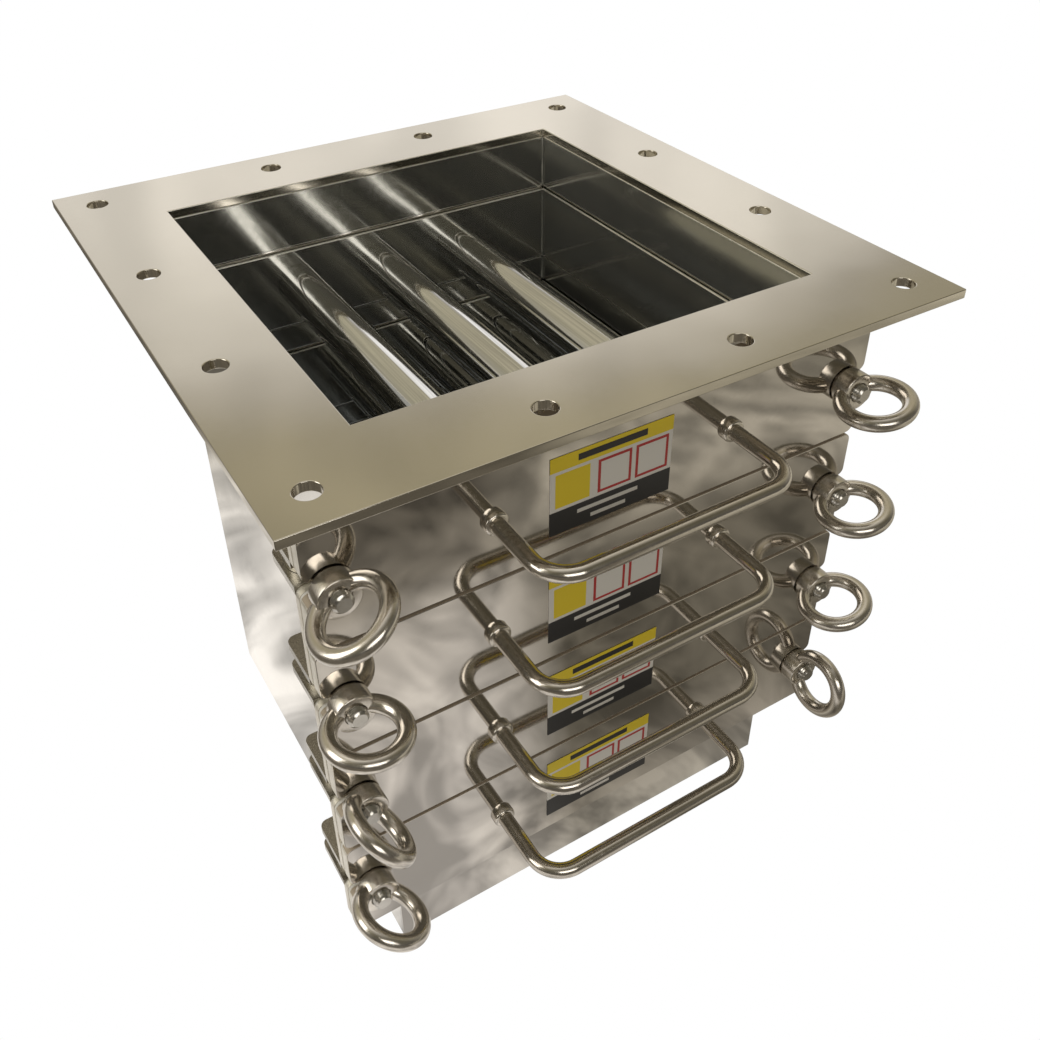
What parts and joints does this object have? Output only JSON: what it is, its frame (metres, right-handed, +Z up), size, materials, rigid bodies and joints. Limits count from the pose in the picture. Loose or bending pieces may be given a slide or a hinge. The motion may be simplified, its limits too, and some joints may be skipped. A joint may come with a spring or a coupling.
{
  "type": "drawer magnet separator",
  "caption": "Square flanged housing with stacked pull-out drawers of magnet tubes, closed by ring-nut swing clamps, that catches iron particles from falling bulk material.",
  "frame": {"origin": "centre of the top flange's upper face, in the middle of its bolt holes", "axes": "+Z up along the fall of the material, +X right along the drawer fronts, -Y out of the drawer fronts towards the operator"},
  "size_m": [0.425, 0.4435, 0.425],
  "materials": {
    "flange_satin": "satin stainless steel",
    "shell_polished": "polished stainless sheet",
    "liner_mirror": "mirror polished stainless sheet",
    "frame_steel": "brushed stainless plate",
    "front_mirror": "mirror polished stainless plate",
    "fastener_steel": "polished stainless rod and castings",
    "tube_mirror": "mirror polished stainless tube",
    "gasket_rubber": "pale food-grade silicone",
    "magnet_core": "sintered magnets and pole discs, hidden"
  },
  "bodies": {
    "housing": {"top_flange": "flange_satin", "side_wall_left": "shell_polished", "side_wall_right": "shell_polished", "back_wall": "shell_polished", "front_lintel": "shell_polished", "front_skirt": "shell_polished", "top_collar": "liner_mirror", "ledge_bands": "liner_mirror", "bottom_collar": "liner_mirror", "front_frame": "frame_steel", "clamp_lugs_left": "frame_steel", "pivot_pins_left": "fastener_steel", "swing_bolts_left": "fastener_steel", "clamp_lugs_right": "frame_steel", "pivot_pins_right": "fastener_steel", "swing_bolts_right": "fastener_steel"},
    "drawer_1": {"front_plate_1": "front_mirror", "gasket_1": "gasket_rubber", "handle_1": "fastener_steel", "handle_collars_1": "fastener_steel", "drawer_frame_1": "liner_mirror", "magnet_tubes_1": "tube_mirror", "tube_plugs_1": "tube_mirror", "magnet_stacks_1": "magnet_core"},
    "drawer_2": {"front_plate_2": "front_mirror", "gasket_2": "gasket_rubber", "handle_2": "fastener_steel", "handle_collars_2": "fastener_steel", "drawer_frame_2": "liner_mirror", "magnet_tubes_2": "tube_mirror", "tube_plugs_2": "tube_mirror", "magnet_stacks_2": "magnet_core"},
    "drawer_3": {"front_plate_3": "front_mirror", "gasket_3": "gasket_rubber", "handle_3": "fastener_steel", "handle_collars_3": "fastener_steel", "drawer_frame_3": "liner_mirror", "magnet_tubes_3": "tube_mirror", "tube_plugs_3": "tube_mirror", "magnet_stacks_3": "magnet_core"},
    "drawer_4": {"front_plate_4": "front_mirror", "gasket_4": "gasket_rubber", "handle_4": "fastener_steel", "handle_collars_4": "fastener_steel", "drawer_frame_4": "liner_mirror", "magnet_tubes_4": "tube_mirror", "tube_plugs_4": "tube_mirror", "magnet_stacks_4": "magnet_core"},
    "nut_left_1": {"eye_nut_left_1": "fastener_steel"},
    "nut_left_2": {"eye_nut_left_2": "fastener_steel"},
    "nut_left_3": {"eye_nut_left_3": "fastener_steel"},
    "nut_left_4": {"eye_nut_left_4": "fastener_steel"},
    "nut_right_1": {"eye_nut_right_1": "fastener_steel"},
    "nut_right_2": {"eye_nut_right_2": "fastener_steel"},
    "nut_right_3": {"eye_nut_right_3": "fastener_steel"},
    "nut_right_4": {"eye_nut_right_4": "fastener_steel"}
  },
  "joints": [
    {"name": "drawer_1_slide", "type": "slide", "parent": "housing", "child": "drawer_1", "axis": [0, -1, 0], "range_m": [0, 0.32]},
    {"name": "drawer_2_slide", "type": "slide", "parent": "housing", "child": "drawer_2", "axis": [0, -1, 0], "range_m": [0, 0.32]},
    {"name": "drawer_3_slide", "type": "slide", "parent": "housing", "child": "drawer_3", "axis": [0, -1, 0], "range_m": [0, 0.32]},
    {"name": "drawer_4_slide", "type": "slide", "parent": "housing", "child": "drawer_4", "axis": [0, -1, 0], "range_m": [0, 0.32]},
    {"name": "nut_left_1_turn", "type": "hinge", "parent": "drawer_1", "child": "nut_left_1", "pos_m": [-0.1766, -0.1681, -0.07725], "axis": [0, -1, 0], "continuous": true},
    {"name": "nut_left_2_turn", "type": "hinge", "parent": "drawer_2", "child": "nut_left_2", "pos_m": [-0.1766, -0.1681, -0.16125], "axis": [0, -1, 0], "continuous": true},
    {"name": "nut_left_3_turn", "type": "hinge", "parent": "drawer_3", "child": "nut_left_3", "pos_m": [-0.1766, -0.1681, -0.24525], "axis": [0, -1, 0], "continuous": true},
    {"name": "nut_left_4_turn", "type": "hinge", "parent": "drawer_4", "child": "nut_left_4", "pos_m": [-0.1766, -0.1681, -0.32925], "axis": [0, -1, 0], "continuous": true},
    {"name": "nut_right_1_turn", "type": "hinge", "parent": "drawer_1", "child": "nut_right_1", "pos_m": [0.1766, -0.1681, -0.07725], "axis": [0, -1, 0], "continuous": true},
    {"name": "nut_right_2_turn", "type": "hinge", "parent": "drawer_2", "child": "nut_right_2", "pos_m": [0.1766, -0.1681, -0.16125], "axis": [0, -1, 0], "continuous": true},
    {"name": "nut_right_3_turn", "type": "hinge", "parent": "drawer_3", "child": "nut_right_3", "pos_m": [0.1766, -0.1681, -0.24525], "axis": [0, -1, 0], "continuous": true},
    {"name": "nut_right_4_turn", "type": "hinge", "parent": "drawer_4", "child": "nut_right_4", "pos_m": [0.1766, -0.1681, -0.32925], "axis": [0, -1, 0], "continuous": true}
  ]
}
